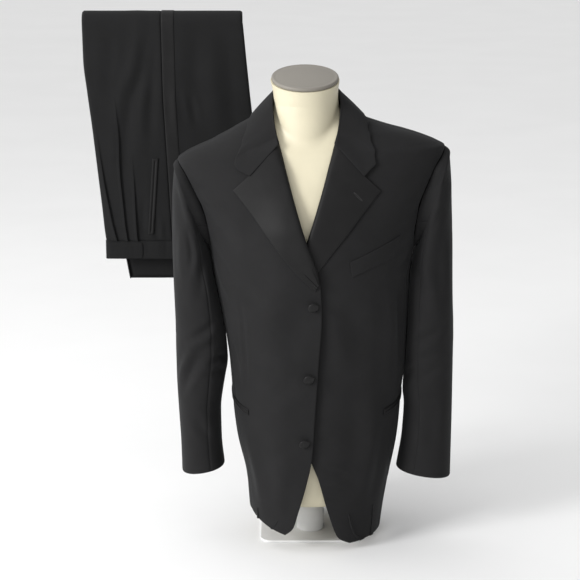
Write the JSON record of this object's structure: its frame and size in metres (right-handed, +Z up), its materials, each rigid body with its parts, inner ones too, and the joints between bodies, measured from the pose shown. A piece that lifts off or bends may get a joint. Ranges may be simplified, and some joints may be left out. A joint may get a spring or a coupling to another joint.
{
  "type": "two-piece tuxedo on a limbless dress form, with the trousers folded over a rail stand",
  "caption": "Notch-lapel dinner jacket worn open-fronted by a countertop dress form, with pleated trousers folded over a rail behind it.",
  "frame": {"origin": "on the floor, under the middle of the dress form", "axes": "+Z up, -Y toward the front of the jacket, +X to the wearer's left"},
  "size_m": [0.699, 0.4322, 0.9649],
  "materials": {
    "jacket_wool": "fine matt worsted wool, near black",
    "trouser_wool": "fine matt worsted wool, near black",
    "satin": "black satin with a soft sheen",
    "form_shell": "cream satin shell",
    "neck_cap": "taupe satin paint",
    "stand_steel": "pale grey powder coat"
  },
  "bodies": {
    "root": {"front_right": "jacket_wool", "front_left": "jacket_wool", "side_right": "jacket_wool", "side_left": "jacket_wool", "back_right": "jacket_wool", "back_left": "jacket_wool", "collar": "jacket_wool", "sleeve_upper_right": "jacket_wool", "sleeve_under_right": "jacket_wool", "sleeve_upper_left": "jacket_wool", "sleeve_under_left": "jacket_wool", "breast_welt": "jacket_wool", "lapel_right": "satin", "lapel_left": "satin", "hip_pocket_right": "satin", "hip_pocket_left": "satin", "button_1": "satin", "button_2": "satin", "button_3": "satin", "trouser_stripe_right": "satin", "trouser_pocket_right": "satin", "trouser_front_right": "trouser_wool", "trouser_back_right": "trouser_wool", "trouser_inner_layers": "trouser_wool", "trouser_waistband": "trouser_wool", "trouser_extension": "trouser_wool", "form_torso": "form_shell", "form_neck_cap": "neck_cap", "foot_plate": "stand_steel", "form_stem": "stand_steel", "post": "stand_steel", "rail": "stand_steel"}
  },
  "joints": []
}
